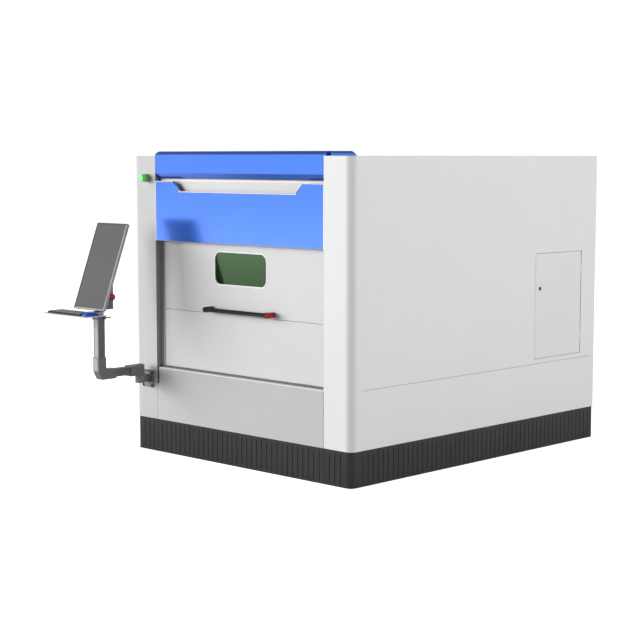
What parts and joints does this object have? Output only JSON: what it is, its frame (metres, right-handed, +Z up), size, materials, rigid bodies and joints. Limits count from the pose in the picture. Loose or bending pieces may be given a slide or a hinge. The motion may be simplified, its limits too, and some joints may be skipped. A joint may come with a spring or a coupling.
{
  "type": "enclosed laser cutting machine",
  "caption": "Fully enclosed flat-bed fibre laser cutter with vertical split door, slotted plinth, slat table, gantry and swinging control arm",
  "frame": {"origin": "on the floor under the middle levelling foot, at the centre of the casing's footprint", "axes": "+Z up, front with the door towards -Y, right-hand side with the service door towards +X"},
  "size_m": [2.0105, 3.075, 1.928],
  "materials": {
    "white_sheet": "fine textured white powder coat",
    "grey_sheet": "light grey powder coat",
    "blue_sheet": "blue powder coat",
    "dark_sheet": "dark grey powder coat",
    "frame_paint": "grey machine enamel",
    "bare_steel": "bright ground steel",
    "zinc_sheet": "zinc-plated steel",
    "slat_steel": "mill-scale flat steel",
    "aluminium": "machined and anodised aluminium",
    "arm_paint": "satin grey aluminium casting and profile",
    "black_plastic": "moulded black plastic",
    "red_plastic": "red moulded plastic",
    "yellow_plastic": "yellow moulded plastic",
    "lamp_plastic": "translucent green plastic",
    "mouse_plastic": "blue moulded plastic",
    "screen_plastic": "mid-grey screen and bezel",
    "key_plastic": "dark grey keyboard plastic",
    "belt_rubber": "black ribbed belt",
    "seal_rubber": "black rubber",
    "light_rubber": "light grey window gasket",
    "laser_glass": "green laser-safe glass",
    "copper": "turned copper",
    "black_steel": "black oxide steel"
  },
  "bodies": {
    "machine": {"levelling_feet": "zinc_sheet", "bed_frame": "frame_paint", "enclosure_frame": "frame_paint", "plinth_front": "dark_sheet", "plinth_left": "dark_sheet", "plinth_right": "dark_sheet", "plinth_rear": "dark_sheet", "side_shell_left": "white_sheet", "side_shell_right": "white_sheet", "roof_panel": "white_sheet", "rear_panel": "white_sheet", "header": "blue_sheet", "hood_cover": "blue_sheet", "fascia": "blue_sheet", "lower_front_panel": "grey_sheet", "ledge_seal": "seal_rubber", "door_guide_left": "zinc_sheet", "door_guide_right": "zinc_sheet", "door_belts": "belt_rubber", "belt_brackets": "zinc_sheet", "table_frame": "frame_paint", "table_slats": "slat_steel", "scrap_tray": "zinc_sheet", "y_rails": "bare_steel", "partition": "grey_sheet", "servo_drives": "black_plastic", "laser_source": "grey_sheet", "signal_lamp": "lamp_plastic", "arm_bracket": "arm_paint", "service_hinges": "bare_steel"},
    "upper_door": {"door_upper": "white_sheet", "window_gasket": "light_rubber", "window_glass": "laser_glass", "handle_tube": "black_steel", "handle_shanks": "black_plastic", "handle_caps": "red_plastic", "upper_clamps": "zinc_sheet"},
    "lower_door": {"door_lower": "white_sheet", "lower_clamps": "zinc_sheet"},
    "cross_shaft": {"door_shaft": "bare_steel"},
    "left_idler": {"idler_left": "aluminium"},
    "right_idler": {"idler_right": "aluminium"},
    "side_door": {"service_door": "white_sheet"},
    "side_door_lock": {"service_lock": "black_plastic"},
    "gantry": {"gantry_beam": "aluminium"},
    "carriage": {"x_carriage": "aluminium"},
    "laser_head": {"cutting_head": "aluminium", "nozzle": "copper"},
    "control_arm": {"arm_knuckle": "arm_paint", "arm_tube": "arm_paint", "arm_elbow": "arm_paint", "arm_post": "arm_paint"},
    "head_clamp": {"clamp_lever": "black_steel"},
    "control_head": {"screen_bracket": "arm_paint", "screen_housing": "screen_plastic", "estop_base": "yellow_plastic", "keyboard_tray": "arm_paint", "keyboard": "key_plastic", "mouse": "mouse_plastic"},
    "stop_button": {"estop_button": "red_plastic"}
  },
  "joints": [
    {"name": "door_lift", "type": "slide", "parent": "machine", "child": "upper_door", "axis": [0, 0, 1], "range_m": [0, 0.38]},
    {"name": "door_drop", "type": "slide", "parent": "machine", "child": "lower_door", "axis": [0, 0, 1], "range_m": [-0.38, 0]},
    {"name": "shaft_spin", "type": "hinge", "parent": "machine", "child": "cross_shaft", "pos_m": [0, -1.07, 1.72], "axis": [1, 0, 0], "range_deg": [-730, 10]},
    {"name": "left_idler_spin", "type": "hinge", "parent": "machine", "child": "left_idler", "pos_m": [-0.8, -1.07, 0.4], "axis": [1, 0, 0], "range_deg": [-730, 10]},
    {"name": "right_idler_spin", "type": "hinge", "parent": "machine", "child": "right_idler", "pos_m": [0.8, -1.07, 0.4], "axis": [1, 0, 0], "range_deg": [-730, 10]},
    {"name": "service_door_swing", "type": "hinge", "parent": "machine", "child": "side_door", "pos_m": [0.9625, 1.037, 0.933], "axis": [0, 0, 1], "range_deg": [0, 95]},
    {"name": "service_lock_turn", "type": "hinge", "parent": "side_door", "child": "side_door_lock", "pos_m": [0.965, 0.582, 1.047], "axis": [1, 0, 0], "range_deg": [0, 90]},
    {"name": "gantry_travel", "type": "slide", "parent": "machine", "child": "gantry", "axis": [0, 1, 0], "range_m": [-1.05, 0]},
    {"name": "carriage_travel", "type": "slide", "parent": "gantry", "child": "carriage", "axis": [1, 0, 0], "range_m": [0, 1.2]},
    {"name": "head_lift", "type": "slide", "parent": "carriage", "child": "laser_head", "axis": [0, 0, 1], "range_m": [-0.1, 0]},
    {"name": "arm_swivel", "type": "hinge", "parent": "machine", "child": "control_arm", "pos_m": [-0.83, -1.277, 0.5], "axis": [0, 0, 1], "range_deg": [-90, 45]},
    {"name": "head_pan", "type": "hinge", "parent": "control_arm", "child": "control_head", "pos_m": [-0.83, -1.597, 0.92], "axis": [0, 0, 1], "range_deg": [-60, 45]},
    {"name": "clamp_lever_turn", "type": "hinge", "parent": "control_arm", "child": "head_clamp", "pos_m": [-0.797, -1.585, 0.892], "axis": [-1, 0, 0], "range_deg": [0, 90]},
    {"name": "stop_press", "type": "slide", "parent": "control_head", "child": "stop_button", "axis": [-1, 0, 0], "range_m": [0, 0.005], "stiffness_N_per_m": 800}
  ],
  "couplings": [
    {"joint": "door_drop", "follows": "door_lift", "ratio": -1},
    {"joint": "shaft_spin", "follows": "door_lift", "rad_per_m": -33.003},
    {"joint": "left_idler_spin", "follows": "door_lift", "rad_per_m": -33.003},
    {"joint": "right_idler_spin", "follows": "door_lift", "rad_per_m": -33.003}
  ]
}
